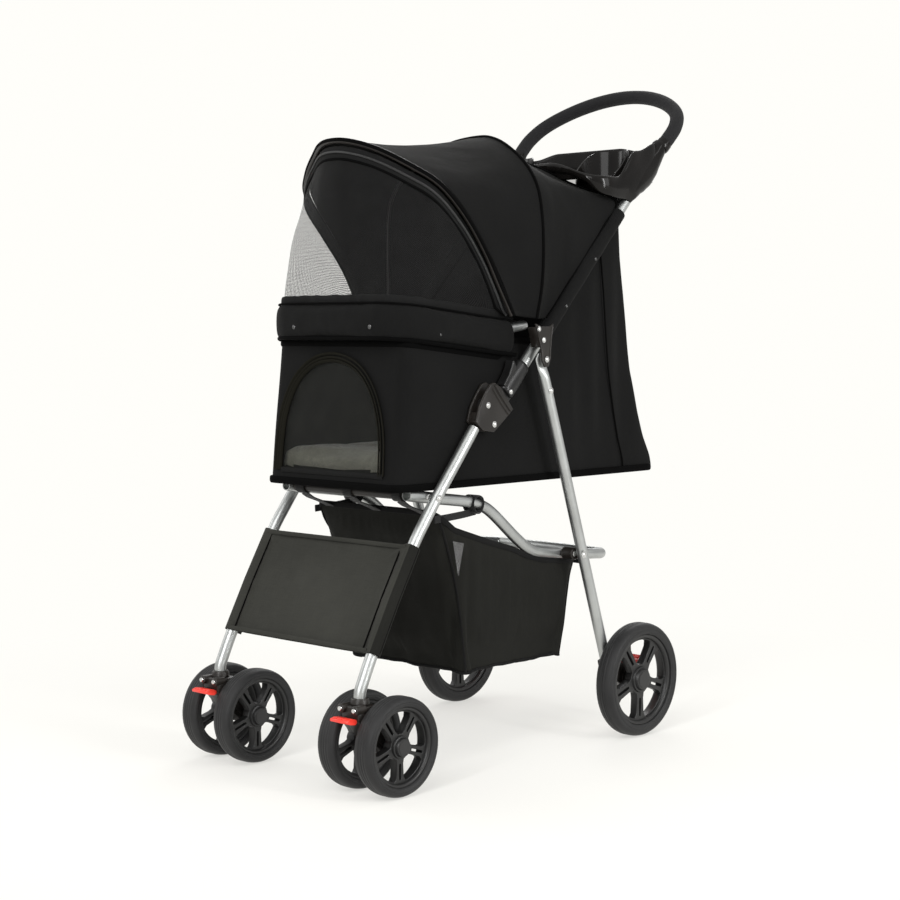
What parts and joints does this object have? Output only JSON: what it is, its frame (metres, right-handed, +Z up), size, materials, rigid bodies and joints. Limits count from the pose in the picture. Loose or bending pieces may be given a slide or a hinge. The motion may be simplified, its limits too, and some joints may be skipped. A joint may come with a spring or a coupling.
{
  "type": "pet stroller",
  "caption": "Folding pet stroller with swivelling twin casters, arched canopy, mesh door cabin, padded front bar, underseat basket and a cup tray below a foam push loop.",
  "frame": {"origin": "middle of the footprint, on the floor under the wheels", "axes": "+Z up, -Y the way the stroller rolls forward, +X the stroller's own left side"},
  "size_m": [0.3936, 0.7746, 0.9797],
  "materials": {
    "axle_block_l": "matt brown-black moulding",
    "axle_block_r": "matt brown-black moulding",
    "basket": "plain woven polyester, charcoal",
    "brake_pedal_l": "semi-gloss red moulding",
    "brake_pedal_r": "semi-gloss red moulding",
    "cabin": "plain woven polyester, near black",
    "canopy": "plain woven polyester, near black",
    "canopy_bow": "flexible black rod",
    "canopy_rib": "flexible black rod",
    "caster_fork_l": "matt brown-black moulding",
    "caster_fork_r": "matt brown-black moulding",
    "caster_lock_l": "semi-gloss red moulding",
    "caster_lock_r": "semi-gloss red moulding",
    "console": "high gloss black moulding",
    "door_mesh": "open polyester mesh",
    "floor_board": "matt brown-black moulding",
    "floor_pad": "brushed fleece",
    "fold_latch_l": "matt brown-black moulding",
    "fold_latch_r": "matt brown-black moulding",
    "front_bar": "plain woven polyester, near black",
    "front_bar_stub_l": "satin silver-grey tube",
    "front_bar_stub_r": "satin silver-grey tube",
    "front_hub_l_inner": "satin black moulding",
    "front_hub_l_outer": "satin black moulding",
    "front_hub_r_inner": "satin black moulding",
    "front_hub_r_outer": "satin black moulding",
    "front_leg_l": "satin silver-grey tube",
    "front_leg_r": "satin silver-grey tube",
    "front_mesh": "open polyester mesh",
    "front_tyre_l_inner": "matt black tyre",
    "front_tyre_l_outer": "matt black tyre",
    "front_tyre_r_inner": "matt black tyre",
    "front_tyre_r_outer": "matt black tyre",
    "handle_bracket_l": "matt brown-black moulding",
    "handle_bracket_r": "matt brown-black moulding",
    "handle_crossbar": "satin silver-grey tube",
    "handle_grip": "fine cellular foam",
    "hinge_lower_l": "matt brown-black moulding",
    "hinge_lower_r": "matt brown-black moulding",
    "hinge_upper_l": "matt brown-black moulding",
    "hinge_upper_r": "matt brown-black moulding",
    "leg_panel": "plain woven polyester, charcoal",
    "leg_rivet_l": "polished steel rivet",
    "leg_rivet_r": "polished steel rivet",
    "link_pin_l": "polished steel rivet",
    "link_pin_r": "polished steel rivet",
    "rear_hub_l": "satin black moulding",
    "rear_hub_r": "satin black moulding",
    "rear_leg_l": "satin silver-grey tube",
    "rear_leg_r": "satin silver-grey tube",
    "rear_tyre_l": "matt black tyre",
    "rear_tyre_r": "matt black tyre",
    "seat_front_bar": "matt brown-black moulding",
    "seat_pivot_l": "polished steel rivet",
    "seat_pivot_r": "polished steel rivet",
    "seat_tube": "satin silver-grey tube",
    "upper_tube_l": "satin silver-grey tube",
    "upper_tube_r": "satin silver-grey tube"
  },
  "bodies": {
    "lower_frame": {"front_leg_l": "front_leg_l", "front_leg_r": "front_leg_r", "leg_panel": "leg_panel", "hinge_lower_l": "hinge_lower_l", "hinge_lower_r": "hinge_lower_r", "seat_pivot_l": "seat_pivot_l", "seat_pivot_r": "seat_pivot_r"},
    "handle_frame": {"upper_tube_l": "upper_tube_l", "upper_tube_r": "upper_tube_r", "handle_crossbar": "handle_crossbar", "handle_bracket_l": "handle_bracket_l", "handle_bracket_r": "handle_bracket_r", "leg_rivet_l": "leg_rivet_l", "leg_rivet_r": "leg_rivet_r", "hinge_upper_l": "hinge_upper_l", "hinge_upper_r": "hinge_upper_r", "console": "console", "handle_grip": "handle_grip", "canopy": "canopy", "canopy_rib": "canopy_rib"},
    "canopy_bow_body": {"canopy_bow": "canopy_bow"},
    "front_bar_body": {"front_bar": "front_bar", "front_bar_stub_l": "front_bar_stub_l", "front_bar_stub_r": "front_bar_stub_r", "front_mesh": "front_mesh"},
    "seat_frame": {"seat_tube": "seat_tube", "seat_front_bar": "seat_front_bar", "cabin": "cabin", "door_mesh": "door_mesh", "floor_board": "floor_board", "floor_pad": "floor_pad", "basket": "basket"},
    "rear_leg_body_l": {"rear_leg_l": "rear_leg_l", "axle_block_l": "axle_block_l", "link_pin_l": "link_pin_l"},
    "fold_latch_body_l": {"fold_latch_l": "fold_latch_l"},
    "pedal_body_l": {"brake_pedal_l": "brake_pedal_l"},
    "rear_wheel_l": {"rear_tyre_l": "rear_tyre_l", "rear_hub_l": "rear_hub_l"},
    "caster_l": {"caster_fork_l": "caster_fork_l"},
    "caster_lever_l": {"caster_lock_l": "caster_lock_l"},
    "front_wheel_l_outer": {"front_tyre_l_outer": "front_tyre_l_outer", "front_hub_l_outer": "front_hub_l_outer"},
    "front_wheel_l_inner": {"front_tyre_l_inner": "front_tyre_l_inner", "front_hub_l_inner": "front_hub_l_inner"},
    "rear_leg_body_r": {"rear_leg_r": "rear_leg_r", "axle_block_r": "axle_block_r", "link_pin_r": "link_pin_r"},
    "fold_latch_body_r": {"fold_latch_r": "fold_latch_r"},
    "pedal_body_r": {"brake_pedal_r": "brake_pedal_r"},
    "rear_wheel_r": {"rear_tyre_r": "rear_tyre_r", "rear_hub_r": "rear_hub_r"},
    "caster_r": {"caster_fork_r": "caster_fork_r"},
    "caster_lever_r": {"caster_lock_r": "caster_lock_r"},
    "front_wheel_r_outer": {"front_tyre_r_outer": "front_tyre_r_outer", "front_hub_r_outer": "front_hub_r_outer"},
    "front_wheel_r_inner": {"front_tyre_r_inner": "front_tyre_r_inner", "front_hub_r_inner": "front_hub_r_inner"}
  },
  "joints": [
    {"name": "fold", "type": "hinge", "parent": "lower_frame", "child": "handle_frame", "pos_m": [0, -0.1096, 0.4965], "axis": [1, 0, 0], "range_deg": [0, 150], "deforming": ["canopy", "canopy_rib", "front_mesh", "cabin", "door_mesh", "basket", "leg_panel", "canopy_bow"]},
    {"name": "seat_fold", "type": "hinge", "parent": "lower_frame", "child": "seat_frame", "pos_m": [0, -0.2088, 0.3765], "axis": [1, 0, 0], "range_deg": [0, 45.5]},
    {"name": "front_bar_fold", "type": "hinge", "parent": "handle_frame", "child": "front_bar_body", "pos_m": [0, -0.0188, 0.605], "axis": [1, 0, 0], "range_deg": [-120.5, 0]},
    {"name": "canopy_open", "type": "hinge", "parent": "handle_frame", "child": "canopy_bow_body", "pos_m": [0, -0.0258, 0.618], "axis": [-1, 0, 0], "range_deg": [0, 45], "deforming": ["canopy", "front_mesh"]},
    {"name": "rear_leg_fold_l", "type": "hinge", "parent": "handle_frame", "child": "rear_leg_body_l", "pos_m": [0.1565, -0.0138, 0.559], "axis": [1, 0, 0], "range_deg": [-82.2, 0]},
    {"name": "fold_latch_slide_l", "type": "slide", "parent": "handle_frame", "child": "fold_latch_body_l", "axis": [0, 0.694, 0.72], "range_m": [0, 0.006], "stiffness_N_per_m": 300, "springref_m": -0.004},
    {"name": "brake_pedal_l_press", "type": "hinge", "parent": "rear_leg_body_l", "child": "pedal_body_l", "pos_m": [0.147, 0.1802, 0.1075], "axis": [1, 0, 0], "range_deg": [0, 18]},
    {"name": "rear_wheel_spin_l", "type": "hinge", "parent": "rear_leg_body_l", "child": "rear_wheel_l", "pos_m": [0.1815, 0.1817, 0.0838], "axis": [1, 0, 0], "continuous": true},
    {"name": "caster_swivel_l", "type": "hinge", "parent": "lower_frame", "child": "caster_l", "pos_m": [0.139, -0.3488, 0.12], "axis": [0, 0, 1], "continuous": true},
    {"name": "caster_lock_press_l", "type": "hinge", "parent": "caster_l", "child": "caster_lever_l", "pos_m": [0.139, -0.3713, 0.1023], "axis": [1, 0, 0], "range_deg": [0, 20]},
    {"name": "front_wheel_spin_l_outer", "type": "hinge", "parent": "caster_l", "child": "front_wheel_l_outer", "pos_m": [0.173, -0.3158, 0.0652], "axis": [1, 0, 0], "continuous": true},
    {"name": "front_wheel_spin_l_inner", "type": "hinge", "parent": "caster_l", "child": "front_wheel_l_inner", "pos_m": [0.105, -0.3158, 0.0652], "axis": [1, 0, 0], "continuous": true},
    {"name": "rear_leg_fold_r", "type": "hinge", "parent": "handle_frame", "child": "rear_leg_body_r", "pos_m": [-0.1565, -0.0138, 0.559], "axis": [1, 0, 0], "range_deg": [-82.2, 0]},
    {"name": "fold_latch_slide_r", "type": "slide", "parent": "handle_frame", "child": "fold_latch_body_r", "axis": [0, 0.694, 0.72], "range_m": [0, 0.006], "stiffness_N_per_m": 300, "springref_m": -0.004},
    {"name": "brake_pedal_r_press", "type": "hinge", "parent": "rear_leg_body_r", "child": "pedal_body_r", "pos_m": [-0.147, 0.1802, 0.1075], "axis": [1, 0, 0], "range_deg": [0, 18]},
    {"name": "rear_wheel_spin_r", "type": "hinge", "parent": "rear_leg_body_r", "child": "rear_wheel_r", "pos_m": [-0.1815, 0.1817, 0.0838], "axis": [1, 0, 0], "continuous": true},
    {"name": "caster_swivel_r", "type": "hinge", "parent": "lower_frame", "child": "caster_r", "pos_m": [-0.139, -0.3488, 0.12], "axis": [0, 0, 1], "continuous": true},
    {"name": "caster_lock_press_r", "type": "hinge", "parent": "caster_r", "child": "caster_lever_r", "pos_m": [-0.139, -0.3713, 0.1023], "axis": [1, 0, 0], "range_deg": [0, 20]},
    {"name": "front_wheel_spin_r_outer", "type": "hinge", "parent": "caster_r", "child": "front_wheel_r_outer", "pos_m": [-0.173, -0.3158, 0.0652], "axis": [1, 0, 0], "continuous": true},
    {"name": "front_wheel_spin_r_inner", "type": "hinge", "parent": "caster_r", "child": "front_wheel_r_inner", "pos_m": [-0.105, -0.3158, 0.0652], "axis": [1, 0, 0], "continuous": true}
  ],
  "couplings": [
    {"joint": "seat_fold", "follows": "fold", "ratio": 0.3},
    {"joint": "front_bar_fold", "follows": "fold", "ratio": -0.8},
    {"joint": "rear_leg_fold_l", "follows": "fold", "ratio": -0.545},
    {"joint": "rear_leg_fold_r", "follows": "fold", "ratio": -0.545}
  ]
}
